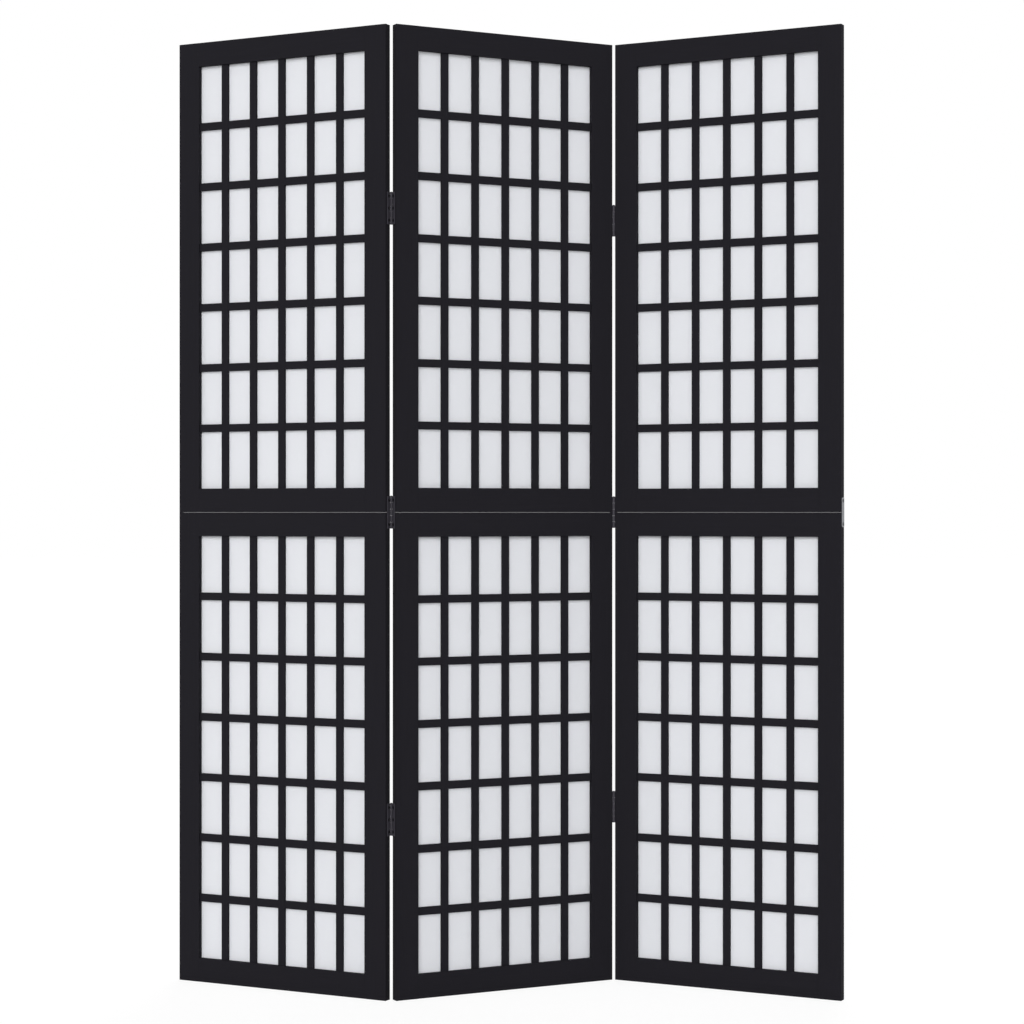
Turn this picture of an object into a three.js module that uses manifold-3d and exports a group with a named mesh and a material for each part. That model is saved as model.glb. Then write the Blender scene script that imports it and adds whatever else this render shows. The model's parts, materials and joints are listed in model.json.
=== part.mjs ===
// Folding screen of three papered lattice panels, standing in a zig-zag.
// Each panel is two mortised frames, one standing on the other. Each frame holds a lattice with
// paper pasted to its back. Pinned butt hinges join the panels, the middle one of each crease also
// tying the upper frame to the lower, and a mending plate does that on the two outer edges.
// Millimetres, +Z up, the front faces -Y and the floor is z = 0.
import * as THREE from "three";
import { mergeVertices } from "three/addons/utils/BufferGeometryUtils.js";
import Module from "manifold-3d";

const wasm = await Module();
wasm.setup();

// ---- Driving dimensions ----
const foldAngle = 27.3; // degrees by which each panel stands off a straight row
const panelWidth = 420;
const panelHeight = 1650;
const panelThickness = 15;
const clearance = 0.3; // between pieces that seat on each other
const jointGap = clearance; // between the lower frame and the upper

const stileWidth = 41.5;
const railHeight = 41.5;
const easedEdge = 0.4; // chamfer along the outside edges of the frame
const tenonThickness = 5;
const tenonLength = 24;
const tenonWall = 1.7; // wood left between a tenon and the grooves beside it

const columns = 6;
const rows = 7;
const uprightBarWidth = 13;
const crossBarWidth = 13.5;
const barThickness = 5.4;
const latticeSetBack = 3.3; // from the front of the frame to the front of the bars
const barTenon = 5; // how far the end of a bar runs into the frame
const paperThickness = 0.5;
const paperMargin = 6; // how far the paper runs into its groove

const hingeHeight = 55;
const upperHingeFromTop = 310.5; // to the middle of the hinge
const lowerHingeFromFloor = 305;
const leafThickness = 1;
const leafMargin = 4.5; // from the free edge of the leaf to the far face of the panel
const knuckleCount = 5;
const pinDiameter = 1.6;
const pinPlay = 0.1; // between the pin and the knuckles, all round
const pinFromFace = 0.55; // from the face of the panel out to the axis of the pin
const pinHeadHeight = 0.8;
const screwHeadDiameter = 6;
const screwHoleDiameter = 3.6;
const screwFromFace = 5; // from the face of the panel to the row of screws in a leaf
const hingeScrewInset = 6.8; // from the end of a leaf to its outer screws

const plateHeight = 50;
const plateMargin = 2; // from each long edge of the plate to the face of the panel
const plateThickness = 0.8;
const plateCorner = 2;
const plateScrewHead = 7;
const plateScrewHole = 5.4;
const plateScrewInset = 5.2;

// ---- Sizes that follow ----
const frameHeight = (panelHeight - jointGap) / 2;
const openingWidth = panelWidth - 2 * stileWidth;
const openingHeight = frameHeight - 2 * railHeight;
const windowWidth = (openingWidth - (columns - 1) * uprightBarWidth) / columns;
const paperFront = latticeSetBack + barThickness + clearance;
const grooveFront = paperFront - clearance;
const grooveBack = paperFront + paperThickness + clearance;
const housing = Math.max(paperMargin, barTenon) + clearance; // deepest cut in an inside edge
const tenonShoulder = housing + tenonWall; // from each edge of a rail to its tenon
const knuckleDiameter = pinDiameter + 2 * (pinPlay + leafThickness); // a leaf rolled round a pin
const pinFromEnd = clearance + knuckleDiameter / 2;
const leafFace = clearance + leafThickness; // outer face of a leaf, from the end of the panel
const round = { fine: 12, coarse: 8 }; // sides of pins and knuckles, and of screw holes

const blackLacquer = { color: 0x252429, roughness: 0.5, metalness: 0 };
const ricePaper = { color: 0xe4e5e9, roughness: 0.9, metalness: 0 };
const blackSteel = { color: 0x34343a, roughness: 0.45, metalness: 0.6 };
const zincSteel = { color: 0x96979b, roughness: 0.35, metalness: 0.9 };

// ---- Solids ----
function solid(geometry) {
  const bare = geometry.index ? geometry.toNonIndexed() : geometry.clone();
  bare.deleteAttribute("normal");
  bare.deleteAttribute("uv");
  const merged = mergeVertices(bare);
  const mesh = new wasm.Mesh({
    numProp: 3,
    vertProperties: new Float32Array(merged.attributes.position.array),
    triVerts: new Uint32Array(merged.index.array),
  });
  return new wasm.Manifold(mesh);
}

function geometryOf(shape) {
  const mesh = shape.getMesh();
  const geometry = new THREE.BufferGeometry();
  geometry.setAttribute("position", new THREE.BufferAttribute(mesh.vertProperties, 3));
  geometry.setIndex(new THREE.BufferAttribute(mesh.triVerts, 1));
  return geometry;
}

// A block between two values on each axis, given in either order.
function block([x0, x1], [y0, y1], [z0, z1]) {
  const size = [x1 - x0, y1 - y0, z1 - z0].map(Math.abs);
  const geometry = new THREE.BoxGeometry(...size);
  return solid(geometry.translate((x0 + x1) / 2, (y0 + y1) / 2, (z0 + z1) / 2));
}

function prism(outline, length) {
  return new THREE.ExtrudeGeometry(new THREE.Shape(outline), {
    depth: length,
    bevelEnabled: false,
  });
}

// ---- Frame members, in the panel's own frame: x across from its left edge, y from its front ----
// Section of a stile or rail, with u from the outside edge inwards and v from front to back.
function memberSection(width) {
  return [
    [easedEdge, 0],
    [width, 0],
    [width, panelThickness],
    [easedEdge, panelThickness],
    [0, panelThickness - easedEdge],
    [0, easedEdge],
  ].map(([u, v]) => new THREE.Vector2(u, v));
}

const middle = panelThickness / 2;

// Centre of each cross bar above the foot of the frame.
function crossBarHeights() {
  const pitch = openingHeight / rows;
  return Array.from({ length: rows - 1 }, (_, i) => railHeight + (i + 1) * pitch);
}

// Centre of each upright bar from the left edge of the panel.
function uprightBarPlaces() {
  const pitch = windowWidth + uprightBarWidth;
  const first = stileWidth + windowWidth + uprightBarWidth / 2;
  return Array.from({ length: columns - 1 }, (_, i) => first + i * pitch);
}

function stile(side) {
  const across = (u) => (side === "left" ? u : panelWidth - u);
  const outline = memberSection(stileWidth).map((p) => new THREE.Vector2(across(p.x), p.y));
  let piece = solid(prism(outline, frameHeight));
  const cut = (us, ys, zs) => {
    piece = piece.subtract(block(us.map(across), ys, zs));
  };
  const grooveDepth = paperMargin + clearance;
  const open = stileWidth + 1; // just past the inside edge
  cut(
    [stileWidth - grooveDepth, open],
    [grooveFront, grooveBack],
    [railHeight - grooveDepth, frameHeight - railHeight + grooveDepth],
  );
  const barHalf = crossBarWidth / 2 + clearance;
  for (const z of crossBarHeights()) {
    cut(
      [stileWidth - barTenon - clearance, open],
      [latticeSetBack - clearance, paperFront],
      [z - barHalf, z + barHalf],
    );
  }
  const low = tenonShoulder - clearance;
  const high = railHeight - low;
  const cheek = tenonThickness / 2 + clearance;
  for (const zs of [[low, high], [frameHeight - high, frameHeight - low]]) {
    cut([stileWidth - tenonLength - clearance, open], [middle - cheek, middle + cheek], zs);
  }
  return geometryOf(piece);
}

function rail(place) {
  const up = (v) => (place === "foot" ? v : frameHeight - v);
  const from = stileWidth + clearance;
  const to = panelWidth - from;
  const profile = prism(memberSection(railHeight), to - from);
  // The section's u runs up from the outside edge, its v runs back, and the length runs across.
  const upright = new THREE.Matrix4().makeBasis(
    new THREE.Vector3(0, 0, 1),
    new THREE.Vector3(0, 1, 0),
    new THREE.Vector3(-1, 0, 0),
  );
  profile.applyMatrix4(upright).translate(to, 0, 0);
  if (place === "head") {
    profile.translate(-panelWidth / 2, 0, 0).rotateY(Math.PI);
    profile.translate(panelWidth / 2, 0, frameHeight);
  }
  let piece = solid(profile);
  const cut = (xs, ys, vs) => {
    piece = piece.subtract(block(xs, ys, vs.map(up)));
  };
  const open = railHeight + 1; // just past the inside edge
  cut([from - 1, to + 1], [grooveFront, grooveBack], [railHeight - paperMargin - clearance, open]);
  const barHalf = uprightBarWidth / 2 + clearance;
  for (const x of uprightBarPlaces()) {
    cut(
      [x - barHalf, x + barHalf],
      [latticeSetBack - clearance, paperFront],
      [railHeight - barTenon - clearance, open],
    );
  }
  const reach = stileWidth - tenonLength;
  const tenon = block(
    [reach, panelWidth - reach],
    [middle - tenonThickness / 2, middle + tenonThickness / 2],
    [tenonShoulder, railHeight - tenonShoulder].map(up),
  );
  return geometryOf(piece.add(tenon));
}

// ---- Lattice and paper ----
// The bars are halved together where they cross. The lattice is a slab with its windows cut out,
// so that the bars' ends stand free all round to enter the frame.
function lattice() {
  const left = stileWidth - barTenon;
  const foot = railHeight - barTenon;
  let piece = block(
    [left, panelWidth - left],
    [latticeSetBack, latticeSetBack + barThickness],
    [foot, frameHeight - foot],
  );
  const edges = (centres, width, low, high) => {
    const inner = centres.flatMap((c) => [c - width / 2, c + width / 2]);
    return [low, ...inner, high];
  };
  const xs = edges(uprightBarPlaces(), uprightBarWidth, left - 1, panelWidth - left + 1);
  const zs = edges(crossBarHeights(), crossBarWidth, foot - 1, frameHeight - foot + 1);
  for (let column = 0; column < columns; column += 1) {
    for (let row = 0; row < rows; row += 1) {
      const window = block(
        [xs[2 * column], xs[2 * column + 1]],
        [0, panelThickness],
        [zs[2 * row], zs[2 * row + 1]],
      );
      piece = piece.subtract(window);
    }
  }
  return geometryOf(piece);
}

function paper() {
  const sheet = block(
    [stileWidth - paperMargin, panelWidth - stileWidth + paperMargin],
    [paperFront, paperFront + paperThickness],
    [railHeight - paperMargin, frameHeight - railHeight + paperMargin],
  );
  return geometryOf(sheet);
}

// ---- Hinges, about their pin: x off the end of the panel, y from the pin towards the far face ----
function knuckleSpan(index) {
  const pitch = hingeHeight / knuckleCount;
  const low = -hingeHeight / 2 + index * pitch;
  return [index ? low + clearance / 2 : low, low + pitch - clearance / 2];
}

// Countersunk hole along x, wide at the outer face of a leaf or plate.
function countersink(outerX, innerX, y, z, head, hole) {
  const depth = outerX - innerX;
  const slope = (head - hole) / 2 / Math.abs(depth);
  const spare = 0.2; // runs past both faces
  const wide = head / 2 + slope * spare;
  const narrow = hole / 2 - slope * spare;
  const length = Math.abs(depth) + 2 * spare;
  const geometry = new THREE.CylinderGeometry(wide, narrow, length, round.coarse);
  geometry.rotateZ(-Math.sign(depth) * (Math.PI / 2));
  return solid(geometry.translate((outerX + innerX) / 2, y, z));
}

// A leaf lies on the end of the panel, on the side +x of its pin, and rolls into every other
// knuckle. The other leaf's knuckles pass through its notches.
function leaf(firstKnuckle, screwHeights) {
  const outer = pinFromEnd - leafFace;
  const inner = pinFromEnd - clearance;
  const width = panelThickness - leafMargin + pinFromFace;
  const radius = knuckleDiameter / 2;
  let piece = block([outer, inner], [0, width], [-hingeHeight / 2, hingeHeight / 2]);
  for (let i = 0; i < knuckleCount; i += 1) {
    const [low, high] = knuckleSpan(i);
    if (i % 2 === firstKnuckle) {
      const barrel = new THREE.CylinderGeometry(radius, radius, high - low, round.fine);
      barrel.rotateX(Math.PI / 2).rotateZ(Math.PI / round.fine);
      piece = piece.add(solid(barrel.translate(0, 0, (low + high) / 2)));
    } else {
      const notch = radius + clearance;
      const lowCut = i === 0 ? low - 1 : low - clearance;
      const highCut = i === knuckleCount - 1 ? high + clearance + 1 : high + clearance;
      piece = piece.subtract(block([outer - 1, inner + 1], [-1, notch], [lowCut, highCut]));
    }
  }
  const bore = pinDiameter / 2 + pinPlay;
  const hole = new THREE.CylinderGeometry(bore, bore, hingeHeight + 2, round.fine);
  piece = piece.subtract(solid(hole.rotateX(Math.PI / 2).rotateZ(Math.PI / round.fine)));
  for (const z of screwHeights) {
    const y = screwFromFace + pinFromFace;
    const hole = countersink(outer, inner, y, z, screwHeadDiameter, screwHoleDiameter);
    piece = piece.subtract(hole);
  }
  return geometryOf(piece);
}

// The pin has a domed head at its top and is cut flush at its foot.
function hingePin() {
  const radius = pinDiameter / 2;
  const headRadius = knuckleDiameter / 2;
  const low = -hingeHeight / 2;
  const seat = hingeHeight / 2 + clearance;
  const profile = [
    [0, low],
    [radius, low],
    [radius, seat],
    [headRadius, seat],
    [headRadius * 0.8, seat + pinHeadHeight * 0.7],
    [0, seat + pinHeadHeight],
  ].map(([r, z]) => new THREE.Vector2(r, z));
  const turned = new THREE.LatheGeometry(profile, round.fine).rotateX(Math.PI / 2);
  return geometryOf(solid(turned.rotateZ(Math.PI / round.fine)));
}

// ---- Mending plate, standing off the end of the panel along +x ----
function mendingPlate() {
  const half = middle - plateMargin;
  const tall = plateHeight / 2;
  const outline = new THREE.Shape();
  outline.moveTo(-half, plateCorner - tall);
  outline.absarc(plateCorner - half, plateCorner - tall, plateCorner, Math.PI, Math.PI * 1.5);
  outline.absarc(half - plateCorner, plateCorner - tall, plateCorner, Math.PI * 1.5, Math.PI * 2);
  outline.absarc(half - plateCorner, tall - plateCorner, plateCorner, 0, Math.PI / 2);
  outline.absarc(plateCorner - half, tall - plateCorner, plateCorner, Math.PI / 2, Math.PI);
  const slab = new THREE.ExtrudeGeometry(outline, {
    depth: plateThickness,
    bevelEnabled: false,
    curveSegments: 3,
  });
  // The outline's u runs back, its v runs up, and its thickness runs off the panel.
  slab.rotateX(Math.PI / 2).rotateZ(Math.PI / 2).translate(clearance, middle, 0);
  let piece = solid(slab);
  for (const z of [-1, 1].map((s) => s * (tall - plateScrewInset))) {
    const outer = clearance + plateThickness;
    const hole = countersink(outer, clearance, middle, z, plateScrewHead, plateScrewHole);
    piece = piece.subtract(hole);
  }
  return geometryOf(piece);
}

// ---- Assembly ----
function mesh(name, geometry, finish) {
  const piece = new THREE.Mesh(geometry, new THREE.MeshStandardMaterial(finish));
  piece.name = name;
  return piece;
}

function panel(name) {
  const group = new THREE.Group();
  for (const half of ["lower", "upper"]) {
    const frame = new THREE.Group();
    const title = `${name}_${half}`;
    frame.position.z = half === "lower" ? 0 : frameHeight + jointGap;
    frame.add(
      mesh(`${title}_left_stile`, stile("left"), blackLacquer),
      mesh(`${title}_right_stile`, stile("right"), blackLacquer),
      mesh(`${title}_foot_rail`, rail("foot"), blackLacquer),
      mesh(`${title}_head_rail`, rail("head"), blackLacquer),
      mesh(`${title}_lattice`, lattice(), blackLacquer),
      mesh(`${title}_paper`, paper(), ricePaper),
    );
    group.add(frame);
  }
  return group;
}

// Where the pins of a crease stand in a panel's own frame.
function pinPlace(edge, face) {
  const x = edge === "left" ? -pinFromEnd : panelWidth + pinFromEnd;
  const y = face === "front" ? -pinFromFace : panelThickness + pinFromFace;
  return new THREE.Vector3(x, y, 0);
}

// Turns a leaf, made on the +x side of its pin, to lie on an edge of a panel.
function seatLeaf(piece, edge, face) {
  // Facing front the leaf runs back from the pin. On the back face, or the other edge, it is
  // turned over end for end or round, never mirrored.
  const back = face === "back";
  if (back) piece.rotateX(Math.PI);
  const wantsLeft = edge === "left";
  if (!wantsLeft) piece.rotateZ(Math.PI).rotateX(Math.PI);
  return piece;
}

const screwReach = hingeHeight / 2 - hingeScrewInset;
const hingeRows = {
  lower: { height: lowerHingeFromFloor, screws: [-screwReach, 0, screwReach] },
  middle: { height: panelHeight / 2, screws: [-screwReach, screwReach] },
  upper: { height: panelHeight - upperHingeFromTop, screws: [-screwReach, 0, screwReach] },
};

// One crease's hinges: the pin and the leaf of the centre panel, and the leaf of its neighbour.
function crease(name, centre, centreEdge, outer, outerEdge, face) {
  for (const [row, { height, screws }] of Object.entries(hingeRows)) {
    const place = (group, edge, piece) => {
      piece.position.copy(pinPlace(edge, face));
      piece.position.z = height;
      group.add(piece);
    };
    const title = `${name}_${row}`;
    const centreLeaf = seatLeaf(leaf(0, screws), centreEdge, face);
    const outerLeaf = seatLeaf(leaf(1, screws), outerEdge, face);
    place(centre, centreEdge, mesh(`${title}_centre_leaf`, centreLeaf, blackSteel));
    place(outer, outerEdge, mesh(`${title}_outer_leaf`, outerLeaf, blackSteel));
    place(centre, centreEdge, mesh(`${title}_pin`, hingePin(), blackSteel));
  }
}

// Stands a panel beside the centre one, so that their pins fall on one axis.
function hang(outer, outerPin, centre, centrePin) {
  const axis = centrePin.clone().applyEuler(centre.rotation).add(centre.position);
  outer.position.copy(axis).sub(outerPin.clone().applyEuler(outer.rotation));
}

const fold = THREE.MathUtils.degToRad(foldAngle);
const centrePanel = panel("centre");
const leftPanel = panel("left");
const rightPanel = panel("right");
centrePanel.rotation.z = fold;
leftPanel.rotation.z = -fold;
rightPanel.rotation.z = -fold;
hang(leftPanel, pinPlace("right", "back"), centrePanel, pinPlace("left", "back"));
hang(rightPanel, pinPlace("left", "front"), centrePanel, pinPlace("right", "front"));
crease("left_crease", centrePanel, "left", leftPanel, "right", "back");
crease("right_crease", centrePanel, "right", rightPanel, "left", "front");

// The plates lie on the outer edges of the two outer panels, across the joint of their frames.
const rightPlate = mesh("right_mending_plate", mendingPlate(), zincSteel);
rightPlate.position.set(panelWidth, 0, panelHeight / 2);
rightPanel.add(rightPlate);
const leftPlate = mesh("left_mending_plate", mendingPlate(), zincSteel);
leftPlate.rotation.z = Math.PI;
leftPlate.position.set(0, panelThickness, panelHeight / 2);
leftPanel.add(leftPlate);

const screen = new THREE.Group();
screen.add(leftPanel, centrePanel, rightPanel);
const bounds = new THREE.Box3().setFromObject(screen, true);
const centreOfFoot = bounds.getCenter(new THREE.Vector3()).setZ(bounds.min.z);
screen.position.sub(centreOfFoot);

export default screen;
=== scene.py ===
import json
import math
import random

import bmesh
import bpy
from mathutils import Matrix, Vector


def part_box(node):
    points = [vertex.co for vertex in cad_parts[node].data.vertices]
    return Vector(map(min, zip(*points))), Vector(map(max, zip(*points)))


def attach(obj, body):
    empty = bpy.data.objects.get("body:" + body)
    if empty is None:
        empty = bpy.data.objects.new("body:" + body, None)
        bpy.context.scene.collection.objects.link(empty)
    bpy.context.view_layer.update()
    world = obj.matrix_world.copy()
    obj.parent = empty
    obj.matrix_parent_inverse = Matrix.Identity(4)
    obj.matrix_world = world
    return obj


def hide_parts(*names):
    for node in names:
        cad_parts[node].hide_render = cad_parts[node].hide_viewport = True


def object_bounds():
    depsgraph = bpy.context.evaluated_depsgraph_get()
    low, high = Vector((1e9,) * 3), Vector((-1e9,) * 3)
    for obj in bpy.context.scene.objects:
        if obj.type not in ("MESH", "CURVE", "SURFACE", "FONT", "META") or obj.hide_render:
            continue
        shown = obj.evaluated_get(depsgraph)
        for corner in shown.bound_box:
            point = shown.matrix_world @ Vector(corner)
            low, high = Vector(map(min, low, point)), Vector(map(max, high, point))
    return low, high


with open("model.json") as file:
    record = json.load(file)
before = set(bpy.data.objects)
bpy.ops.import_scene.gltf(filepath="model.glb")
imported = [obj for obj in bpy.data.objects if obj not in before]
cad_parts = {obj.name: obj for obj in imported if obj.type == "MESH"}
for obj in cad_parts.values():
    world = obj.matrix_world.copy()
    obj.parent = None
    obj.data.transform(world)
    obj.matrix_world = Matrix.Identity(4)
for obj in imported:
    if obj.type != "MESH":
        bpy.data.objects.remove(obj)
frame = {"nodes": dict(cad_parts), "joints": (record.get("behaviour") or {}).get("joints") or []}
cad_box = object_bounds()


# ---- The view ----
# Taken square on to the screen from level with the joint of its frames, some four metres back.
# The picture's middle falls a few pixels to the right of the middle of the screen.
MM = 0.001
PHOTO_PX = 1024
FOCAL_PX = 2487.0
AXIS_PX = (504.87, 512.35)
SENSOR_MM = 36.0
EYE = (0.07 * MM, -4301.0 * MM, 825.0 * MM)


def new_object(name, data):
    """An object in the scene, at the origin and unturned."""
    made = bpy.data.objects.new(name, data)
    bpy.context.collection.objects.link(made)
    return made


camera = new_object("camera", bpy.data.cameras.new("camera"))
camera.location = EYE
camera.rotation_euler = (math.pi / 2, 0, 0)
camera.data.sensor_width = SENSOR_MM
camera.data.lens = SENSOR_MM * FOCAL_PX / PHOTO_PX
camera.data.shift_x = (PHOTO_PX / 2 - AXIS_PX[0]) / PHOTO_PX
camera.data.shift_y = (AXIS_PX[1] - PHOTO_PX / 2) / PHOTO_PX
bpy.context.scene.camera = camera
bpy.context.scene.view_settings.view_transform = "Standard"


# ---- The studio ----
# A white studio: even light from all round, a broad soft light above the camera, another behind
# the screen that shows through its paper, and a white floor that keeps a faint shadow.
AMBIENT = 0.43
KEY_STRENGTH = 1.58
KEY_FROM = Vector((-0.13, -1.0, 0.38))
FILL_STRENGTH = 1.5
FILL_FROM = Vector((0.15, 1.0, 0.4))
LIGHT_SPREAD_DEG = 35
FLOOR_HALF_M = 40.0
FLOOR_DROP = 0.1 * MM
FLOOR_OWN_SHARE = 0.82
FLOOR_OWN_STRENGTH = 1.08


def colour(hex_code):
    """The linear RGBA of an sRGB hex colour."""
    channels = [int(hex_code[i:i + 2], 16) / 255 for i in (1, 3, 5)]
    linear = [c / 12.92 if c <= 0.04045 else ((c + 0.055) / 1.055) ** 2.4 for c in channels]
    return (*linear, 1.0)


def add(tree, kind, inputs=None, **settings):
    """Adds a node with its settings, and sets or links its inputs. A node that is given as an
    input stands for its first output."""
    node = tree.nodes.new(kind)
    for key, value in settings.items():
        setattr(node, key, value)
    for key, value in (inputs or {}).items():
        if isinstance(value, bpy.types.Node):
            value = value.outputs[0]
        if isinstance(value, bpy.types.NodeSocket):
            tree.links.new(value, node.inputs[key])
        else:
            node.inputs[key].default_value = value
    return node


def new_material(name):
    """A material with an empty node tree."""
    material = bpy.data.materials.new(name)
    material.use_nodes = True
    material.node_tree.nodes.clear()
    return material, material.node_tree


def seen_directly(tree):
    """1 for a camera, glossy or transmission ray, so that metal shows the white studio too."""
    path = add(tree, "ShaderNodeLightPath")
    pair = add(tree, "ShaderNodeMath", operation="MAXIMUM", inputs={
        0: path.outputs["Is Camera Ray"], 1: path.outputs["Is Glossy Ray"],
    })
    return add(tree, "ShaderNodeMath", operation="MAXIMUM", inputs={
        0: pair, 1: path.outputs["Is Transmission Ray"],
    })


world = bpy.data.worlds.new("white_studio")
bpy.context.scene.world = world
world.use_nodes = True
sky = world.node_tree
sky.nodes.clear()
lit = add(sky, "ShaderNodeBackground", {"Color": colour("#ffffff"), "Strength": AMBIENT})
white = add(sky, "ShaderNodeBackground", {"Color": colour("#ffffff"), "Strength": 1.0})
either = add(sky, "ShaderNodeMixShader", {0: seen_directly(sky), 1: lit, 2: white})
add(sky, "ShaderNodeOutputWorld", {"Surface": either})


def soft_light(name, strength, from_where):
    """A broad light from far away on one side."""
    light = new_object(name, bpy.data.lights.new(name, "SUN"))
    light.data.energy = strength
    light.data.angle = math.radians(LIGHT_SPREAD_DEG)
    light.rotation_euler = from_where.to_track_quat("Z", "Y").to_euler()


soft_light("key_light", KEY_STRENGTH, KEY_FROM)
soft_light("fill_light", FILL_STRENGTH, FILL_FROM)


def floor_paint():
    """White floor paint. Seen directly it glows up to the white behind it, less the shadow."""
    material, tree = new_material("white_floor_paint")
    paint = add(tree, "ShaderNodeBsdfDiffuse", {"Color": colour("#f4f4f4")})
    own = add(tree, "ShaderNodeEmission",
              {"Color": colour("#ffffff"), "Strength": FLOOR_OWN_STRENGTH})
    share = add(tree, "ShaderNodeMath", {0: seen_directly(tree), 1: FLOOR_OWN_SHARE},
                operation="MULTIPLY")
    mixed = add(tree, "ShaderNodeMixShader", {0: share, 1: paint, 2: own})
    add(tree, "ShaderNodeOutputMaterial", {"Surface": mixed})
    return material


floor_mesh = bpy.data.meshes.new("floor")
floor_mesh.from_pydata(
    [(x * FLOOR_HALF_M, y * FLOOR_HALF_M, cad_box[0].z - FLOOR_DROP)
     for x, y in ((-1, -1), (1, -1), (1, 1), (-1, 1))],
    [], [(0, 1, 2, 3)],
)
floor_mesh.materials.append(floor_paint())
new_object("floor", floor_mesh)


# ---- How the panels stand ----
# Each panel is drawn in a frame of its own: x across from its left edge, y back from its front
# and z up. The two hinge pins, which the CAD gives, fix how far the panels are folded.
PANEL_WIDTH = 420.0 * MM
PANEL_THICKNESS = 15.0 * MM
PIN_FROM_END = 2.2 * MM
PIN_FROM_FACE = 0.55 * MM
PANELS = ("left", "centre", "right")
HALVES = ("lower", "upper")

pins = {joint["name"]: Vector(joint["pos_m"]) for joint in frame["joints"]}


def pin_place(edge, face):
    """Where a pin stands in a panel's own frame."""
    x = -PIN_FROM_END if edge == "left" else PANEL_WIDTH + PIN_FROM_END
    y = -PIN_FROM_FACE if face == "front" else PANEL_THICKNESS + PIN_FROM_FACE
    return Vector((x, y, 0))


own_span = pin_place("right", "front") - pin_place("left", "back")
stood_span = pins["right_fold"] - pins["left_fold"]
fold = math.atan2(stood_span.y, stood_span.x) - math.atan2(own_span.y, own_span.x)


def standing(turn, own_pin, pin):
    """The placement that turns a panel and brings its own pin onto the pin of the crease."""
    rotation = Matrix.Rotation(turn, 4, "Z")
    shift = Vector((pin.x, pin.y, 0)) - rotation @ own_pin
    return Matrix.Translation(shift) @ rotation


placement = {
    "centre": standing(fold, pin_place("left", "back"), pins["left_fold"]),
    "left": standing(-fold, pin_place("right", "back"), pins["left_fold"]),
    "right": standing(-fold, pin_place("left", "front"), pins["right_fold"]),
}


def own_box(node, panel):
    """Lowest and highest corners of a CAD node in its panel's own frame."""
    to_own = placement[panel].inverted()
    shape = frame["nodes"][node]
    points = [to_own @ shape.matrix_world @ v.co for v in shape.data.vertices]
    return [Vector(pick(p[i] for p in points) for i in range(3)) for pick in (min, max)]


def fit_out(piece, body, nodes=()):
    """Hangs a finished piece on its body, with the CAD nodes that it stands for."""
    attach(piece, body)
    if nodes:
        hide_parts(*nodes)
    return piece


# ---- Stiles and rails ----
# Softwood sticks, planed, mortised and tenoned, then sprayed with satin black lacquer. The
# arrises are rubbed back to a small round, each shoulder closes tight on its stile, and one frame
# stands on the other with only a hairline of light between them.
STILE_WIDTH = 41.5 * MM
# The gap that the solids leave at a shoulder and between the frames, and what is left of each.
SOLID_GAP = 0.3 * MM
SHOULDER_GAP = 0.02 * MM
HAIRLINE = 0.17 * MM
GRAIN_LENGTH = 60.0 * MM
GRAIN_WIDTH = 1.4 * MM
GRAIN_SHIFT = 370.0 * MM
PORE_DEPTH = 0.015 * MM
ARRIS_RADIUS = 0.5 * MM
SHORTEST_ARRIS = 14.0 * MM
SAME_PLACE = 0.02 * MM
SAME_POINT = 0.002 * MM
FLAT_DEG = 0.5
SQUARE_CORNER_DEG = 40
MEMBERS = {"left_stile": "z", "right_stile": "z", "foot_rail": "x", "head_rail": "x"}


def black_lacquer():
    """Satin nitrocellulose lacquer on softwood: near black, with a soft broad sheen in which the
    grain shows as faint streaks along the stick."""
    material, tree = new_material("satin_black_lacquer")
    grain = add(tree, "ShaderNodeAttribute", attribute_name="grain")
    stretched = add(tree, "ShaderNodeVectorMath", operation="MULTIPLY", inputs={
        0: grain.outputs["Vector"], 1: (1 / GRAIN_LENGTH, 1 / GRAIN_WIDTH, 1 / GRAIN_WIDTH),
    })
    streaks = add(tree, "ShaderNodeTexNoise", {
        "Vector": stretched, "Scale": 1.0, "Detail": 4.0, "Roughness": 0.6,
    })
    tint = add(tree, "ShaderNodeMix", data_type="RGBA", inputs={
        0: streaks, 6: colour("#201f23"), 7: colour("#26252a"),
    })
    sheen = add(tree, "ShaderNodeMapRange", {"Value": streaks, "To Min": 0.52, "To Max": 0.66})
    bump = add(tree, "ShaderNodeBump",
               {"Height": streaks, "Strength": 0.5, "Distance": PORE_DEPTH})
    lacquer = add(tree, "ShaderNodeBsdfPrincipled", {
        "Base Color": tint.outputs[2], "Roughness": sheen, "Specular IOR Level": 0.02,
        "Normal": bump,
    })
    add(tree, "ShaderNodeOutputMaterial", {"Surface": lacquer})
    return material


lacquer = black_lacquer()


def cleaned(mesh):
    """A CAD solid's mesh with its points merged and its flat faces whole, ready to work on."""
    work = bmesh.new()
    work.from_mesh(mesh)
    bmesh.ops.remove_doubles(work, verts=work.verts, dist=SAME_POINT)
    bmesh.ops.dissolve_limit(work, angle_limit=math.radians(FLAT_DEG), verts=work.verts,
                             edges=work.edges)
    for face in work.faces:
        face.smooth = False
    return work


def rounded(work, edges, radius, segments=3):
    """Rounds some edges, and shades only the rounds smooth."""
    made = bmesh.ops.bevel(work, geom=edges, offset=radius, segments=segments, profile=0.5,
                           affect="EDGES", clamp_overlap=True)
    for face in made["faces"]:
        face.smooth = True


def corners(work, least_deg, most_deg=180, shortest=0.0):
    """The outward corners of a mesh between two angles."""
    work.normal_update()
    low, high = math.radians(least_deg), math.radians(most_deg)
    return [
        edge for edge in work.edges
        if edge.is_manifold and edge.is_convex and edge.calc_length() >= shortest
        and low < edge.calc_face_angle() < high
    ]


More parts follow.
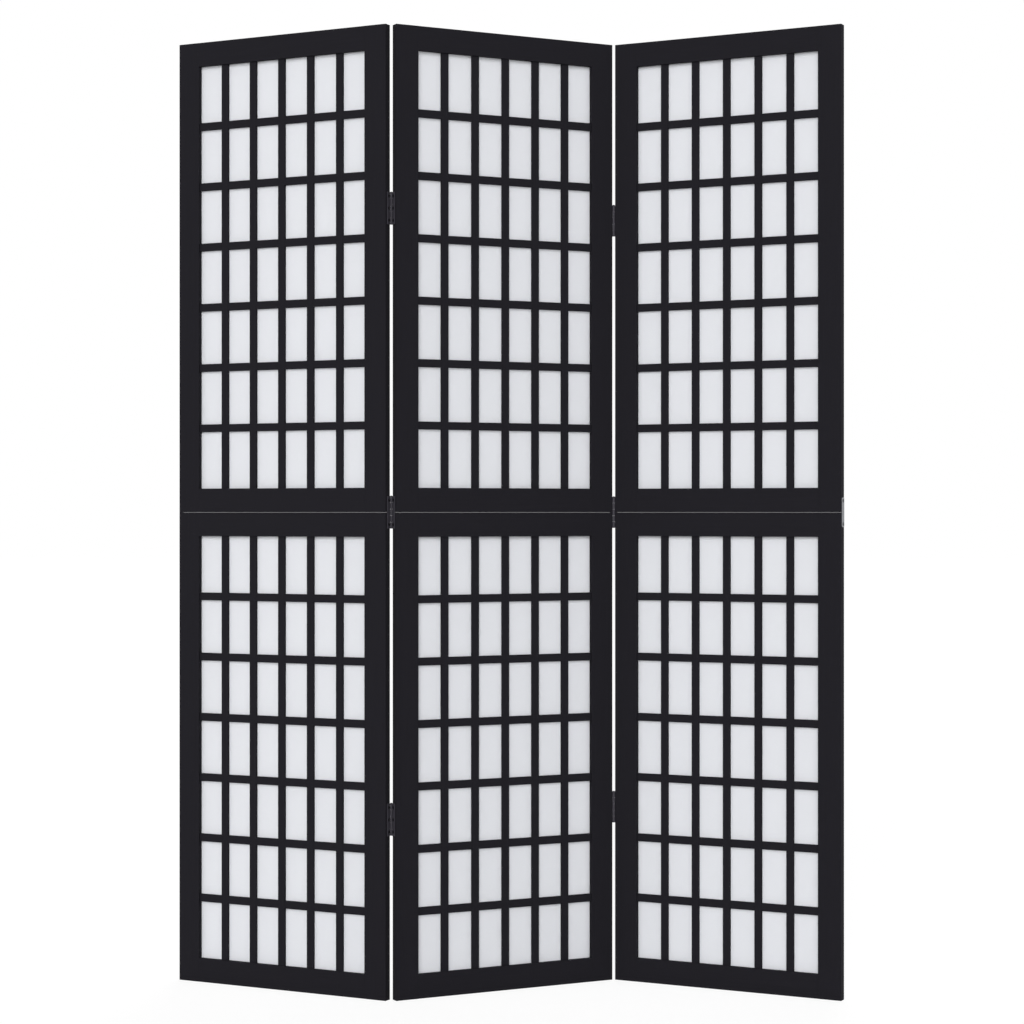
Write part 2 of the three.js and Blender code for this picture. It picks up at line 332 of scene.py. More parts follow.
def finished(work, mesh, material):
    """Writes the worked mesh back, in one material."""
    work.to_mesh(mesh)
    work.free()
    mesh.materials.clear()
    mesh.materials.append(material)
    return mesh


def lacquered_member(panel, half, member, along, shift):
    """A copy of a CAD stick with its long arrises rounded and its joints closed up. A rail's
    shoulders meet the stiles, and the frames' ends leave only the hairline."""
    node = f"{panel}_{half}_{member}"
    to_own = placement[panel].inverted()
    mesh = frame["nodes"][node].data.copy()
    work = cleaned(mesh)
    middle = (cad_box[0].z + cad_box[1].z) / 2
    shoulder, closed = STILE_WIDTH + SOLID_GAP, STILE_WIDTH + SHOULDER_GAP
    moves = {shoulder: closed, PANEL_WIDTH - shoulder: PANEL_WIDTH - closed}
    on_shoulder = set()
    for vertex in work.verts:
        own = to_own @ vertex.co
        for old, new in moves.items():
            if along == "x" and abs(own.x - old) < SAME_PLACE:
                own.x = new
                on_shoulder.add(vertex)
        if abs(own.z - middle) < SOLID_GAP:
            own.z = middle + math.copysign(HAIRLINE / 2, own.z - middle)
        vertex.co = placement[panel] @ own
    arrises = [edge for edge in corners(work, SQUARE_CORNER_DEG, shortest=SHORTEST_ARRIS)
               if not on_shoulder.issuperset(edge.verts)]
    rounded(work, arrises, ARRIS_RADIUS)
    finished(work, mesh, lacquer)
    grain = mesh.attributes.new("grain", "FLOAT_VECTOR", "POINT")
    along_first = (0, 1, 2) if along == "x" else (2, 0, 1)
    for point, vertex in zip(grain.data, mesh.vertices):
        own = to_own @ vertex.co
        point.vector = [own[axis] + shift for axis in along_first]
    piece = new_object(node + "_lacquered", mesh)
    fit_out(piece, panel + "_panel", [node])


sticks = 0
for panel in PANELS:
    for half in HALVES:
        for member, along in MEMBERS.items():
            sticks += 1
            lacquered_member(panel, half, member, along, sticks * GRAIN_SHIFT)


# ---- Lattice ----
# Slim bars of the same lacquered wood, halved together flush where they cross. A tree of nodes
# sets out both frames of a panel: whole uprights, and cross bars in lengths between them.
COLUMNS = 6
ROWS = 7
UPRIGHT_WIDTH = 13.0 * MM
CROSS_WIDTH = 13.5 * MM
LAP_LINE = 0.02 * MM
BAR_ARRIS = 0.25 * MM
OPENING_WIDTH = PANEL_WIDTH - 2 * STILE_WIDTH


def tree_with(name, inputs):
    """An empty Geometry Nodes tree with named inputs, its input node and its output node."""
    tree = bpy.data.node_groups.new(name, "GeometryNodeTree")
    tree.interface.new_socket("Geometry", in_out="INPUT", socket_type="NodeSocketGeometry")
    tree.interface.new_socket("Geometry", in_out="OUTPUT", socket_type="NodeSocketGeometry")
    for label, kind in inputs.items():
        tree.interface.new_socket(label, in_out="INPUT", socket_type="NodeSocket" + kind)
    return tree, add(tree, "NodeGroupInput"), add(tree, "NodeGroupOutput")


def grown(tree, values, start=None):
    """What a tree makes of a starting mesh, as a plain mesh."""
    holder = new_object("holder", start or bpy.data.meshes.new("start"))
    modifier = holder.modifiers.new("tree", "NODES")
    modifier.node_group = tree
    for item in tree.interface.items_tree:
        if item.in_out == "INPUT" and item.name in values:
            modifier[item.identifier] = values[item.name]
    depsgraph = bpy.context.evaluated_depsgraph_get()
    mesh = bpy.data.meshes.new_from_object(
        holder.evaluated_get(depsgraph), preserve_all_data_layers=True, depsgraph=depsgraph)
    holder.modifiers.remove(modifier)
    bpy.data.objects.remove(holder)
    return mesh


def lattice_tree():
    """Bars on a grid of points, about the middle of a frame's opening, then once per frame."""
    tree, given, result = tree_with("lattice", {
        "Columns": "Int", "Rows": "Int", "Opening Width": "Float", "Opening Height": "Float",
        "Upright Width": "Float", "Cross Width": "Float", "Thickness": "Float",
        "Tenon": "Float", "Lap Line": "Float", "Middle": "Vector", "Frame Pitch": "Float",
        "Seed": "Int", "Material": "Material",
    })
    size = given.outputs
    uprights = add(tree, "ShaderNodeMath", {0: size["Columns"], 1: 1.0}, operation="SUBTRACT")
    crosses = add(tree, "ShaderNodeMath", {0: size["Rows"], 1: 1.0}, operation="SUBTRACT")
    wood = add(tree, "ShaderNodeMath", {0: uprights, 1: size["Upright Width"]},
               operation="MULTIPLY")
    clear = add(tree, "ShaderNodeMath", {0: size["Opening Width"], 1: wood},
                operation="SUBTRACT")
    window = add(tree, "ShaderNodeMath", {0: clear, 1: size["Columns"]}, operation="DIVIDE")
    pitch = add(tree, "ShaderNodeMath", {0: window, 1: size["Upright Width"]},
                operation="ADD")
    rise = add(tree, "ShaderNodeMath", {0: size["Opening Height"], 1: size["Rows"]},
               operation="DIVIDE")
    full_width = add(tree, "ShaderNodeMath", {0: uprights, 1: pitch}, operation="MULTIPLY")
    inner_width = add(tree, "ShaderNodeMath", {0: full_width, 1: pitch},
                      operation="SUBTRACT")
    full_height = add(tree, "ShaderNodeMath", {0: crosses, 1: rise}, operation="MULTIPLY")
    inner_height = add(tree, "ShaderNodeMath", {0: full_height, 1: rise},
                       operation="SUBTRACT")

    def bar(wide, high, lengthwise):
        """One bar, centred, with its place along and across the grain stored."""
        box_size = add(tree, "ShaderNodeCombineXYZ", {0: wide, 1: size["Thickness"], 2: high})
        cube = add(tree, "GeometryNodeMeshCube", {"Size": box_size})
        here = add(tree, "ShaderNodeSeparateXYZ",
                   {0: add(tree, "GeometryNodeInputPosition")}).outputs
        own = add(tree, "ShaderNodeCombineXYZ",
                  {0: here[lengthwise], 1: here[1], 2: here[2 - lengthwise]})
        return add(tree, "GeometryNodeStoreNamedAttribute",
                   {"Geometry": cube, "Name": "grain", "Value": own},
                   data_type="FLOAT_VECTOR", domain="POINT")

    def grid(columns, rows, width, height):
        """Points standing in the plane of the frame, about its middle."""
        flat = add(tree, "GeometryNodeMeshGrid", {
            "Vertices X": columns, "Vertices Y": rows, "Size X": width, "Size Y": height,
        })
        return add(tree, "GeometryNodeTransform",
                   {"Geometry": flat, "Rotation": (math.pi / 2, 0, 0)})

    # Whole uprights, tenoned into both rails.
    tall = add(tree, "ShaderNodeMath", {0: size["Tenon"], 1: 2.0, 2: size["Opening Height"]},
               operation="MULTIPLY_ADD")
    upright_bars = add(tree, "GeometryNodeInstanceOnPoints", {
        "Points": grid(uprights, 1, inner_width, 0.0),
        "Instance": bar(size["Upright Width"], tall, 2),
    })

    # Cross bars, one length to a window. The outermost run on into the stiles by their tenons.
    length = add(tree, "ShaderNodeMath", {0: size["Lap Line"], 1: -2.0, 2: window},
                 operation="MULTIPLY_ADD")
    across = add(tree, "ShaderNodeSeparateXYZ",
                 {0: add(tree, "GeometryNodeInputPosition")}).outputs["X"]
    side = add(tree, "ShaderNodeMath", {0: across}, operation="SIGN")
    from_middle = add(tree, "ShaderNodeMath", {0: across}, operation="ABSOLUTE")
    half_inner = add(tree, "ShaderNodeMath", {0: inner_width, 1: 0.5}, operation="MULTIPLY")
    outermost = add(tree, "ShaderNodeMath", {0: from_middle, 1: half_inner},
                    operation="GREATER_THAN")
    longer = add(tree, "ShaderNodeMath", {0: size["Tenon"], 1: length}, operation="DIVIDE")
    stretch = add(tree, "ShaderNodeMath", {0: outermost, 1: longer, 2: 1.0},
                  operation="MULTIPLY_ADD")
    marked = add(tree, "GeometryNodeStoreNamedAttribute", {
        "Geometry": grid(size["Columns"], crosses, full_width, inner_height),
        "Name": "stretch", "Value": stretch,
    }, data_type="FLOAT", domain="POINT")
    half_tenon = add(tree, "ShaderNodeMath", {0: size["Tenon"], 1: 0.5}, operation="MULTIPLY")
    reach = add(tree, "ShaderNodeMath", {0: outermost, 1: half_tenon}, operation="MULTIPLY")
    outward = add(tree, "ShaderNodeMath", {0: side, 1: reach}, operation="MULTIPLY")
    moved = add(tree, "GeometryNodeSetPosition", {
        "Geometry": marked, "Offset": add(tree, "ShaderNodeCombineXYZ", {0: outward}),
    })
    kept = add(tree, "GeometryNodeInputNamedAttribute", {"Name": "stretch"}, data_type="FLOAT")
    cross_bars = add(tree, "GeometryNodeInstanceOnPoints", {
        "Points": moved, "Instance": bar(length, size["Cross Width"], 0),
        "Scale": add(tree, "ShaderNodeCombineXYZ", {0: kept, 1: 1.0, 2: 1.0}),
    })

    # Once for each frame of the panel, with the grain of every bar moved by its own chance shift.
    joined = add(tree, "GeometryNodeJoinGeometry")
    tree.links.new(upright_bars.outputs[0], joined.inputs[0])
    tree.links.new(cross_bars.outputs[0], joined.inputs[0])
    frames = add(tree, "GeometryNodeMeshLine", {
        "Count": len(HALVES), "Start Location": size["Middle"],
        "Offset": add(tree, "ShaderNodeCombineXYZ", {2: size["Frame Pitch"]}),
    }, mode="OFFSET")
    stacked = add(tree, "GeometryNodeInstanceOnPoints", {"Points": frames, "Instance": joined})
    real = add(tree, "GeometryNodeRealizeInstances", {"Geometry": stacked})
    shift = add(tree, "FunctionNodeRandomValue", data_type="FLOAT_VECTOR", inputs={
        "ID": add(tree, "GeometryNodeInputMeshIsland"), "Seed": size["Seed"],
    })
    own = add(tree, "GeometryNodeInputNamedAttribute", {"Name": "grain"},
              data_type="FLOAT_VECTOR")
    shifted = add(tree, "ShaderNodeVectorMath", {0: own, 1: shift}, operation="ADD")
    grained = add(tree, "GeometryNodeStoreNamedAttribute",
                  {"Geometry": real, "Name": "grain", "Value": shifted},
                  data_type="FLOAT_VECTOR", domain="POINT")
    painted = add(tree, "GeometryNodeSetMaterial",
                  {"Geometry": grained, "Material": size["Material"]})
    tree.links.new(painted.outputs[0], result.inputs[0])
    return tree


bars = lattice_tree()
bar_back = {}
for seed, panel in enumerate(PANELS):
    nodes = [f"{panel}_{half}_lattice" for half in HALVES]
    (low, high), (next_low, _) = own_box(nodes[0], panel), own_box(nodes[1], panel)
    bar_back[panel] = high.y
    tenon = (high.x - low.x - OPENING_WIDTH) / 2
    mesh = grown(bars, {
        "Columns": COLUMNS, "Rows": ROWS, "Opening Width": OPENING_WIDTH,
        "Opening Height": high.z - low.z - 2 * tenon, "Upright Width": UPRIGHT_WIDTH,
        "Cross Width": CROSS_WIDTH, "Thickness": high.y - low.y, "Tenon": tenon,
        "Lap Line": LAP_LINE, "Middle": (low + high) / 2, "Frame Pitch": next_low.z - low.z,
        "Seed": seed, "Material": lacquer,
    })
    work = bmesh.new()
    work.from_mesh(mesh)
    rounded(work, corners(work, SQUARE_CORNER_DEG), BAR_ARRIS, segments=2)
    finished(work, mesh, lacquer).transform(placement[panel])
    fit_out(new_object(panel + "_lattice_bars", mesh), panel + "_panel", nodes)


# ---- Paper ----
# Sheets of white mulberry paper pasted to the back of the bars and held in a groove all round.
# Each is drawn tight, with a hair of slack left in every window, and lets some light through.
PAPER_THICKNESS = 0.3 * MM
PASTE = 0.02 * MM
SLACK_RANGE = (-0.048 * MM, 0.12 * MM)
PAPER_CELL = 6.0 * MM
PAPER_SEED = 11
LIGHT_THROUGH = 0.3
# A fibre is only hundredths of a millimetre wide: it is drawn as wide as it has to be to show.
FIBRE_LENGTH = 9.0 * MM
FIBRE_WIDTH = 0.35 * MM
FIBRE_HEIGHT = 0.03 * MM
FIBRE_TURNS_RAD = (0.5, -0.7)


def mulberry_paper():
    """Bleached mulberry paper: matt, a cool white, with long fibres felted two ways."""
    material, tree = new_material("white_mulberry_paper")
    place = add(tree, "ShaderNodeAttribute", attribute_name="place").outputs["Vector"]
    fibres = []
    for angle in FIBRE_TURNS_RAD:
        laid = add(tree, "ShaderNodeVectorRotate",
                   {"Vector": place, "Axis": (0, 1, 0), "Angle": angle})
        drawn = add(tree, "ShaderNodeVectorMath", operation="MULTIPLY", inputs={
            0: laid, 1: (1 / FIBRE_LENGTH, 1 / FIBRE_WIDTH, 1 / FIBRE_WIDTH),
        })
        fibres.append(add(tree, "ShaderNodeTexNoise", {
            "Vector": drawn, "Scale": 1.0, "Detail": 3.0, "Distortion": 0.4,
        }))
    both_ways = add(tree, "ShaderNodeMath", {0: fibres[0], 1: fibres[1]}, operation="ADD")
    felt = add(tree, "ShaderNodeMath", {0: both_ways, 1: 0.5}, operation="MULTIPLY")
    tint = add(tree, "ShaderNodeMix", data_type="RGBA", inputs={
        0: felt, 6: colour("#edeef1"), 7: colour("#f6f7fa"),
    })
    bump = add(tree, "ShaderNodeBump", {"Height": felt, "Strength": 0.5, "Distance": FIBRE_HEIGHT})
    matt = add(tree, "ShaderNodeBsdfPrincipled", {
        "Base Color": tint.outputs[2], "Roughness": 0.9, "Specular IOR Level": 0.1,
        "Normal": bump,
    })
    through = add(tree, "ShaderNodeBsdfTranslucent", {"Color": tint.outputs[2]})
    sheet = add(tree, "ShaderNodeMixShader", {0: LIGHT_THROUGH, 1: matt, 2: through})
    add(tree, "ShaderNodeOutputMaterial", {"Surface": sheet})
    return material


paper = mulberry_paper()


def paper_mesh(low, high, front, centres_x, centres_z, dice):
    """A thin closed sheet that bows a little in each window, between the centres of the bars."""
    across = round((high.x - low.x) / PAPER_CELL)
    up = round((high.z - low.z) / PAPER_CELL)
    bows = {}

    def bow(x, z):
        """How far back the sheet bows at a point, which is nothing along the bars."""
        cell = [sum(1 for c in centres if c < v)
                for centres, v in ((centres_x, x), (centres_z, z))]
        depth = bows.setdefault(tuple(cell), dice.uniform(*SLACK_RANGE))
        for centres, v, i, ends in ((centres_x, x, cell[0], (low.x, high.x)),
                                    (centres_z, z, cell[1], (low.z, high.z))):
            edges = [ends[0], *centres, ends[1]]
            depth *= math.sin(math.pi * (v - edges[i]) / (edges[i + 1] - edges[i]))
        return depth

    points = [
        Vector((low.x + (high.x - low.x) * i / across, 0, low.z + (high.z - low.z) * k / up))
        for i in range(across + 1) for k in range(up + 1)
    ]
    sheet = [Vector((p.x, front + bow(p.x, p.z), p.z)) for p in points]
    back = [p + Vector((0, PAPER_THICKNESS, 0)) for p in sheet]
    column = up + 1
    behind = len(sheet)
    faces = []
    for i in range(across):
        for k in range(up):
            a = i * column + k
            quad = (a, a + column, a + column + 1, a + 1)
            faces.append(quad)
            faces.append(tuple(behind + v for v in reversed(quad)))
    rim = [i * column for i in range(across)]
    rim += [across * column + k for k in range(up)]
    rim += [i * column + up for i in range(across, 0, -1)]
    rim += list(range(up, 0, -1))
    for a, b in zip(rim, rim[1:] + rim[:1]):
        faces.append((b, a, behind + a, behind + b))
    mesh = bpy.data.meshes.new("paper")
    mesh.from_pydata(sheet + back, [], faces)
    return mesh


dice = random.Random(PAPER_SEED)
window = (OPENING_WIDTH - (COLUMNS - 1) * UPRIGHT_WIDTH) / COLUMNS
first_upright = STILE_WIDTH + window + UPRIGHT_WIDTH / 2
for panel in PANELS:
    for half in HALVES:
        node = f"{panel}_{half}_paper"
        low, high = own_box(node, panel)
        in_groove = STILE_WIDTH - low.x
        rise = (high.z - low.z - 2 * in_groove) / ROWS
        mesh = paper_mesh(
            low, high, bar_back[panel] + PASTE,
            [first_upright + i * (window + UPRIGHT_WIDTH) for i in range(COLUMNS - 1)],
            [low.z + in_groove + (k + 1) * rise for k in range(ROWS - 1)], dice)
        aside = Vector((dice.random(), 0, 0))
        place = mesh.attributes.new("place", "FLOAT_VECTOR", "POINT")
        for point, vertex in zip(place.data, mesh.vertices):
            point.vector = vertex.co + aside
        mesh.shade_smooth()
        mesh.materials.append(paper)
        mesh.transform(placement[panel])
        piece = fit_out(new_object(node + "_sheet", mesh), panel + "_panel", [node])


# ---- Hinges ----
# Butt hinges of one-millimetre steel, pressed, rolled round a loose pin and stove-enamelled
# black. The leaves are copies of the CAD's, and the outer ones have rounder knuckles and
# softened edges.
HINGE_ROWS = ("lower", "middle", "upper")
# Each crease: the outer panel and its edge, the centre panel and its edge, and the pins' side.
CREASES = {
    "left_crease": (("left", "right"), ("centre", "left"), "back"),
    "right_crease": (("right", "left"), ("centre", "right"), "front"),
}
KNUCKLE_FACET_DEG = 15
SHEET_CORNER_DEG = 60
KNUCKLE_SOFTENING = 0.22 * MM
SHEET_ARRIS = 0.12 * MM
PIN_SIDES = 28
PIN_RADIUS = 0.8 * MM
PIN_HEAD_RADIUS = 1.85 * MM
PIN_HEAD_DROP = 1.08 * MM
PIN_HEAD_RIM = 0.3 * MM
PIN_HEAD_DOME = 0.7 * MM
DOME_STEP_DEG = 18
LEVEL_NORMAL = 0.9
PEEL_SIZE = 0.7 * MM
PEEL_DEPTH = 0.01 * MM


def black_enamel():
    """Stove-enamelled steel: black, a little glossier and paler than the lacquer, with the
    fine orange-peel of a sprayed coat."""
    material, tree = new_material("black_enamelled_steel")
    here = add(tree, "ShaderNodeTexCoord").outputs["Object"]
    peel = add(tree, "ShaderNodeTexNoise",
               {"Vector": here, "Scale": 1 / PEEL_SIZE, "Detail": 2.0})
    bump = add(tree, "ShaderNodeBump",
               {"Height": peel, "Strength": 0.4, "Distance": PEEL_DEPTH})
    enamel = add(tree, "ShaderNodeBsdfPrincipled", {
        "Base Color": colour("#413f46"), "Roughness": 0.42, "Specular IOR Level": 0.15,
        "Normal": bump,
    })
    add(tree, "ShaderNodeOutputMaterial", {"Surface": enamel})
    return material


enamel = black_enamel()


def softened_copy(node, material):
    """A copy of a CAD sheet-metal piece with its curves made rounder and its edges softened. On a
    centre leaf, clamping takes all the width from the rounds, and it stays sharp."""
    mesh = frame["nodes"][node].data.copy()
    work = cleaned(mesh)
    rounded(work, corners(work, KNUCKLE_FACET_DEG, SQUARE_CORNER_DEG), KNUCKLE_SOFTENING, 2)
    rounded(work, corners(work, SHEET_CORNER_DEG), SHEET_ARRIS, 2)
    return finished(work, mesh, material)


def turned(profile, sides):
    """A solid of revolution about z, from (radius, height) pairs that start and end on z. Only
    the fans of triangles at its two ends are shaded flat."""
    work = bmesh.new()
    line = [work.verts.new((r, 0, z)) for r, z in profile]
    edges = [work.edges.new(pair) for pair in zip(line, line[1:])]
    bmesh.ops.spin(work, geom=line + edges, cent=(0, 0, 0), axis=(0, 0, 1),
                   angle=2 * math.pi, steps=sides, use_duplicate=False)
    bmesh.ops.remove_doubles(work, verts=work.verts, dist=SAME_POINT)
    bmesh.ops.recalc_face_normals(work, faces=work.faces)
    for face in work.faces:
        at_an_end = len(face.verts) == 3 and abs(face.normal.z) > LEVEL_NORMAL
        face.smooth = not at_an_end
    return work


def hinge_pin(node, stand):
    """A straight pin whose domed head rests on the top knuckle."""
    low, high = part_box(node)
    head = high.z - PIN_HEAD_DROP
    rim = head + PIN_HEAD_RIM
    dome = [
        (PIN_HEAD_RADIUS * math.cos(a), rim + PIN_HEAD_DOME * math.sin(a))
        for a in (math.radians(degrees) for degrees in range(0, 90, DOME_STEP_DEG))
    ]
    profile = [(0, low.z), (PIN_RADIUS, low.z), (PIN_RADIUS, head), (PIN_HEAD_RADIUS, head),
               *dome, (0, rim + PIN_HEAD_DOME)]
    mesh = finished(turned(profile, PIN_SIDES), bpy.data.meshes.new(node), enamel)
    mesh.transform(Matrix.Translation((stand.x, stand.y, 0)))
    return mesh


for crease, (outer, centre, _) in CREASES.items():
    stand = pins[crease.replace("crease", "fold")]
    for row in HINGE_ROWS:
        title = f"{crease}_{row}"
        for leaf, panel in (("outer_leaf", outer[0]), ("centre_leaf", centre[0])):
            node = f"{title}_{leaf}"
            piece = new_object(node + "_enamelled", softened_copy(node, enamel))
            fit_out(piece, panel + "_panel", [node])
        node = title + "_pin"
        piece = new_object(node + "_turned", hinge_pin(node, stand))
        fit_out(piece, "centre_panel", [node])


# ---- Mending plates ----
# Flat strips of bright zinc-plated steel, punched and countersunk, that tie the upper frame to
# the lower on the two outer edges.
PLATES = {"left_mending_plate": ("left", "left"), "right_mending_plate": ("right", "right")}
# The marks of brushing are finer in life: they are drawn as wide as they have to be to show.
SCRATCH_LENGTH = 6.0 * MM
SCRATCH_WIDTH = 0.25 * MM


def zinc_plating():
    """Bright zinc plating: a pale blue-grey metal, brushed a little along the strip."""
    material, tree = new_material("zinc_plated_steel")
    here = add(tree, "ShaderNodeTexCoord").outputs["Object"]
    drawn = add(tree, "ShaderNodeVectorMath", operation="MULTIPLY", inputs={
        0: here, 1: (1 / SCRATCH_WIDTH, 1 / SCRATCH_WIDTH, 1 / SCRATCH_LENGTH),
    })
    brushed = add(tree, "ShaderNodeTexNoise", {"Vector": drawn, "Scale": 1.0, "Detail": 3.0})
    rough = add(tree, "ShaderNodeMapRange", {"Value": brushed, "To Min": 0.36, "To Max": 0.5})
    zinc = add(tree, "ShaderNodeBsdfPrincipled", {
        "Base Color": colour("#86878b"), "Metallic": 1.0, "Roughness": rough,
    })
    add(tree, "ShaderNodeOutputMaterial", {"Surface": zinc})
    return material


zinc = zinc_plating()
for node, (panel, _) in PLATES.items():
    piece = new_object(node + "_plated", softened_copy(node, zinc))
    fit_out(piece, panel + "_panel", [node])


# ---- Screws ----
# Countersunk cross-recess wood screws: black ones through the hinge leaves, and zinc ones through
# the mending plates, darkened with painted shade. A tree of nodes sets a head, at its own turn, on
# each marked point.
HEAD_DIAMETER = 6.0 * MM
HEAD_DEPTH = 1.1 * MM
HEAD_FOOT = 3.9 * MM
HEAD_SIDES = 36
RECESS_LENGTH = 3.4 * MM
RECESS_WIDTH = 0.85 * MM
RECESS_DEPTH = 0.8 * MM
HEAD_ARRIS = 0.08 * MM
HEAD_SUNK = 0.04 * MM
PLATE_HEAD = 7.0 * MM
# The outer faces of leaves and plates off the edge of the panel, and where their screws are.
LEAF_FACE = 1.3 * MM
PLATE_FACE = 1.1 * MM
SCREW_FROM_FACE = 5.0 * MM
HINGE_SCREW_INSET = 6.8 * MM
PLATE_SCREW_INSET = 5.2 * MM
OIL_PATCH = 1.2 * MM
BLOTCH_SIZE = 0.9 * MM


def screw_tree():
    """A sunk head with a crossed recess on every point, facing the way that the point does."""
    tree, given, result = tree_with("screws", {
        "Head Diameter": "Float", "Foot Diameter": "Float", "Head Depth": "Float",
        "Sides": "Int", "Recess Length": "Float", "Recess Width": "Float",
        "Recess Depth": "Float", "Seed": "Int", "Material": "Material",
    })
    size = given.outputs
    top, foot = [
        add(tree, "ShaderNodeMath", {0: size[across], 1: 0.5}, operation="MULTIPLY")
        for across in ("Head Diameter", "Foot Diameter")
    ]
    head = add(tree, "GeometryNodeMeshCone", {
        "Vertices": size["Sides"], "Radius Top": top, "Radius Bottom": foot,
        "Depth": size["Head Depth"],
    })
    down = add(tree, "ShaderNodeMath", {0: size["Head Depth"], 1: -1.0}, operation="MULTIPLY")
    lowered = add(tree, "GeometryNodeTransform", {
        "Geometry": head, "Translation": add(tree, "ShaderNodeCombineXYZ", {2: down}),
    })
    tall = add(tree, "ShaderNodeMath", {0: size["Recess Depth"], 1: 2.0}, operation="MULTIPLY")
    cut = add(tree, "GeometryNodeMeshBoolean", {"Mesh 1": lowered}, operation="DIFFERENCE")
    for x, y in (("Recess Length", "Recess Width"), ("Recess Width", "Recess Length")):
        arm_size = add(tree, "ShaderNodeCombineXYZ", {0: size[x], 1: size[y], 2: tall})
        arm = add(tree, "GeometryNodeMeshCube", {"Size": arm_size})
        tree.links.new(arm.outputs["Mesh"], cut.inputs["Mesh 2"])
    facing = add(tree, "GeometryNodeInputNamedAttribute", {"Name": "facing"},
                 data_type="FLOAT_VECTOR")
    aligned = add(tree, "FunctionNodeAlignRotationToVector", {"Vector": facing}, axis="Z")
    set_out = add(tree, "GeometryNodeInstanceOnPoints",
                  {"Points": given, "Instance": cut, "Rotation": aligned})
    # A crossed recess looks the same after a quarter turn, which is the most that it is given.
    chance = add(tree, "FunctionNodeRandomValue", {3: math.pi / 2, "Seed": size["Seed"]},
                 data_type="FLOAT")
    driven = add(tree, "GeometryNodeRotateInstances", {
        "Instances": set_out,
        "Rotation": add(tree, "ShaderNodeCombineXYZ", {2: chance.outputs[1]}),
    })
    real = add(tree, "GeometryNodeRealizeInstances", {"Geometry": driven})
    painted = add(tree, "GeometryNodeSetMaterial",
                  {"Geometry": real, "Material": size["Material"]})
    tree.links.new(painted.outputs[0], result.inputs[0])
    return tree


def marks(panel, places):
    """A mesh of bare points that know which way they face. A place is the edge of the panel, how
    far back and up it is, and how far the metal there stands proud of the edge."""
    mesh = bpy.data.meshes.new("marks")
    stood = placement[panel]
    facings = [Vector((-1 if edge == "left" else 1, 0, 0)) for edge, *_ in places]
    points = []
    for (edge, y, z, proud), facing in zip(places, facings):
        x = 0.0 if edge == "left" else PANEL_WIDTH
        points.append(stood @ (Vector((x, y, z)) + facing * (proud - HEAD_SUNK)))
    mesh.from_pydata(points, [], [])
    stored = mesh.attributes.new("facing", "FLOAT_VECTOR", "POINT")
    for point, facing in zip(stored.data, facings):
        point.vector = stood.to_3x3() @ facing
    return mesh


def screws(name, panel, places, diameter, material, seed):
    """One panel's screws of a kind, as one piece."""
    grow = diameter / HEAD_DIAMETER
    mesh = grown(driving, {
        "Head Diameter": diameter, "Foot Diameter": HEAD_FOOT * grow, "Head Depth": HEAD_DEPTH,
        "Sides": HEAD_SIDES, "Recess Length": RECESS_LENGTH * grow,
        "Recess Width": RECESS_WIDTH * grow, "Recess Depth": RECESS_DEPTH, "Seed": seed,
        "Material": material,
    }, marks(panel, places))
    work = bmesh.new()
    work.from_mesh(mesh)
    bmesh.ops.remove_doubles(work, verts=work.verts, dist=SAME_POINT)
    rounded(work, corners(work, SQUARE_CORNER_DEG), HEAD_ARRIS, 2)
    finished(work, mesh, material)
    fit_out(new_object(name, mesh), panel + "_panel")


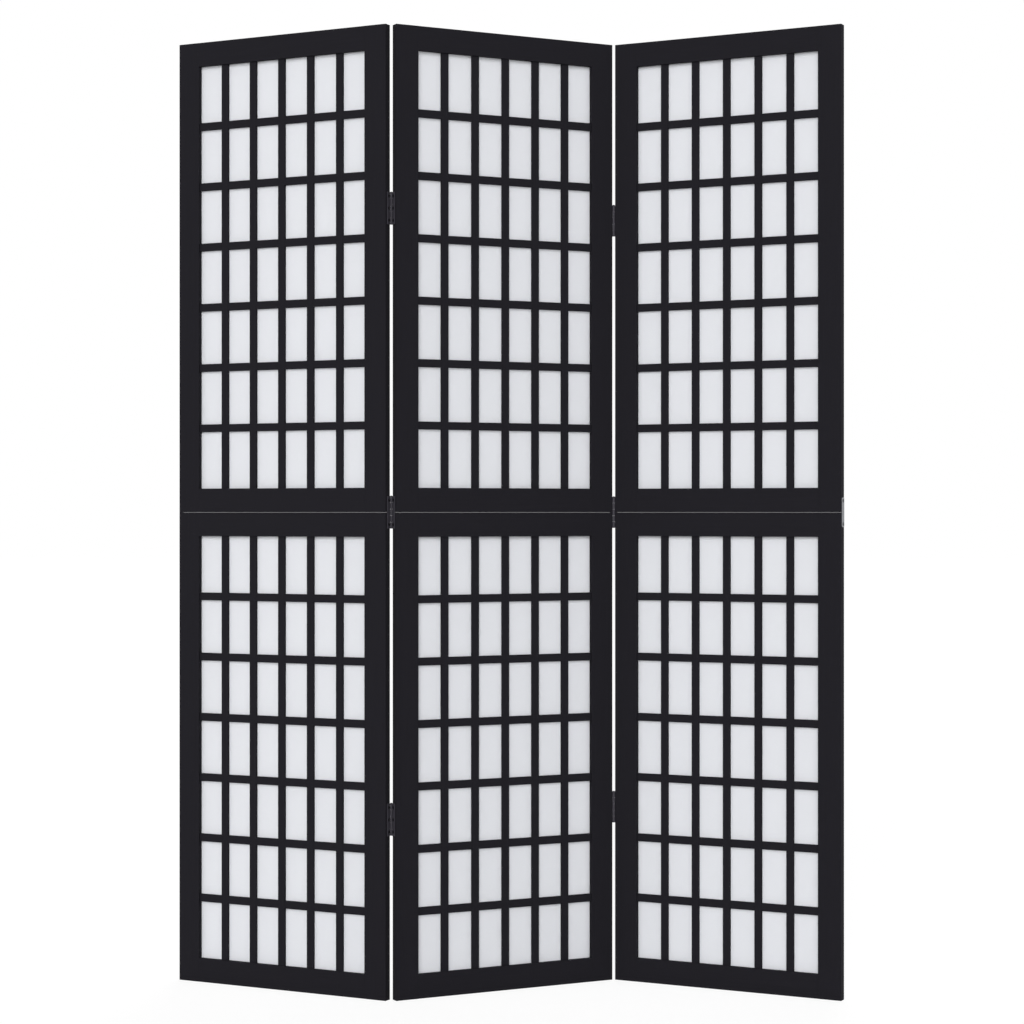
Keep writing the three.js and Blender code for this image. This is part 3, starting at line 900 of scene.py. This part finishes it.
def blackened_steel():
    """Screws chemically blackened and oiled: near black, with a soft metal sheen that turns
    duller in patches where the oil has dried."""
    material, tree = new_material("blackened_screw_steel")
    here = add(tree, "ShaderNodeTexCoord").outputs["Object"]
    dry = add(tree, "ShaderNodeTexNoise", {"Vector": here, "Scale": 1 / OIL_PATCH, "Detail": 2.0})
    tint = add(tree, "ShaderNodeMix", data_type="RGBA", inputs={
        0: dry, 6: colour("#0b0b0c"), 7: colour("#111112"),
    })
    sheen = add(tree, "ShaderNodeMapRange", {"Value": dry, "To Min": 0.42, "To Max": 0.58})
    black = add(tree, "ShaderNodeBsdfPrincipled", {
        "Base Color": tint.outputs[2], "Roughness": sheen, "Specular IOR Level": 0.06,
    })
    add(tree, "ShaderNodeOutputMaterial", {"Surface": black})
    return material


def painted_shade_zinc():
    """Zinc plating on a driven screw: the plates' metal, blotchy, and darkened all over with
    painted shade.
    """
    material, tree = new_material("zinc_screw_steel_painted_shade")
    here = add(tree, "ShaderNodeTexCoord").outputs["Object"]
    blotches = add(tree, "ShaderNodeTexNoise",
                   {"Vector": here, "Scale": 1 / BLOTCH_SIZE, "Detail": 2.0})
    # Both tints are painted shade, far darker than the plates' zinc, as if the heads lay in
    # shadow; the blotches vary them at random.
    tint = add(tree, "ShaderNodeMix", data_type="RGBA", inputs={
        0: blotches, 6: colour("#303134"), 7: colour("#45464a"),
    })
    rough = add(tree, "ShaderNodeMapRange", {"Value": blotches, "To Min": 0.37, "To Max": 0.53})
    zinc = add(tree, "ShaderNodeBsdfPrincipled", {
        "Base Color": tint.outputs[2], "Metallic": 1.0, "Roughness": rough,
    })
    add(tree, "ShaderNodeOutputMaterial", {"Surface": zinc})
    return material


blackened = blackened_steel()
painted_shade_zinc_screws = painted_shade_zinc()
driving = screw_tree()
hinge_screws = {panel: [] for panel in PANELS}
for crease, (outer, centre, face) in CREASES.items():
    y = SCREW_FROM_FACE if face == "front" else PANEL_THICKNESS - SCREW_FROM_FACE
    for row in HINGE_ROWS:
        low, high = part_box(f"{crease}_{row}_outer_leaf")
        heights = [low.z + HINGE_SCREW_INSET, high.z - HINGE_SCREW_INSET]
        if row != "middle":
            heights.append((low.z + high.z) / 2)
        for panel, edge in (outer, centre):
            hinge_screws[panel] += [(edge, y, z, LEAF_FACE) for z in heights]
for seed, (panel, places) in enumerate(hinge_screws.items()):
    screws(panel + "_hinge_screws", panel, places, HEAD_DIAMETER, blackened, seed)
for seed, (node, (panel, edge)) in enumerate(PLATES.items()):
    low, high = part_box(node)
    heights = (low.z + PLATE_SCREW_INSET, high.z - PLATE_SCREW_INSET)
    places = [(edge, PANEL_THICKNESS / 2, z, PLATE_FACE) for z in heights]
    screws(panel + "_plate_screws", panel, places, PLATE_HEAD, painted_shade_zinc_screws, seed)
